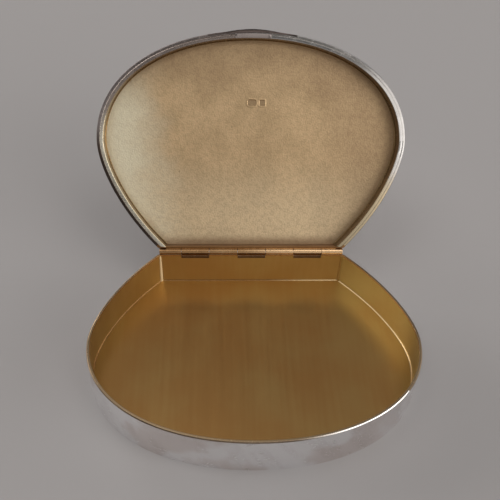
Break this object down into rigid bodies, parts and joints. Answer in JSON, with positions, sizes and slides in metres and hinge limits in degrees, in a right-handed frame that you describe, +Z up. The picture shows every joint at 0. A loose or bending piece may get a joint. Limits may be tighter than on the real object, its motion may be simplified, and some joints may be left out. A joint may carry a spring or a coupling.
{
  "type": "tobacco box",
  "caption": "Shell-shaped silver pocket box with a gilt inside and a hinged, fluted lid that stands open against its stop.",
  "frame": {"origin": "on the resting edge under the middle of the hinge side, halfway through the back wall", "axes": "+X along the hinge to the right, +Y backwards away from the bowed front, +Z up"},
  "size_m": [0.0852, 0.1016, 0.061],
  "materials": {
    "polished_silver": "polished silver, worn bright on the edges",
    "gilt_silver": "smooth gilding, satin from wear",
    "frosted_gilt": "pale gilding with a fine frosted grain"
  },
  "bodies": {
    "base": {"base_wall": "polished_silver", "base_floor": "gilt_silver", "base_bearer": "polished_silver", "base_knuckle_1": "polished_silver", "base_knuckle_2": "polished_silver", "base_knuckle_3": "polished_silver", "base_knuckle_4": "polished_silver", "hinge_pin": "polished_silver", "pin_plug_left": "polished_silver", "pin_plug_right": "polished_silver"},
    "lid": {"lid_wall": "polished_silver", "lid_bezel": "gilt_silver", "lid_lining_plate": "frosted_gilt", "lid_cover": "polished_silver", "lid_bearer": "polished_silver", "lid_knuckle_1": "polished_silver", "lid_knuckle_2": "polished_silver", "lid_knuckle_3": "polished_silver", "thumbpiece": "polished_silver", "catch_strip": "gilt_silver"}
  },
  "joints": [
    {"name": "lid_hinge", "type": "hinge", "parent": "base", "child": "lid", "pos_m": [0, 0.00082, 0.01283], "axis": [1, 0, 0], "range_deg": [0, 127.6]}
  ]
}
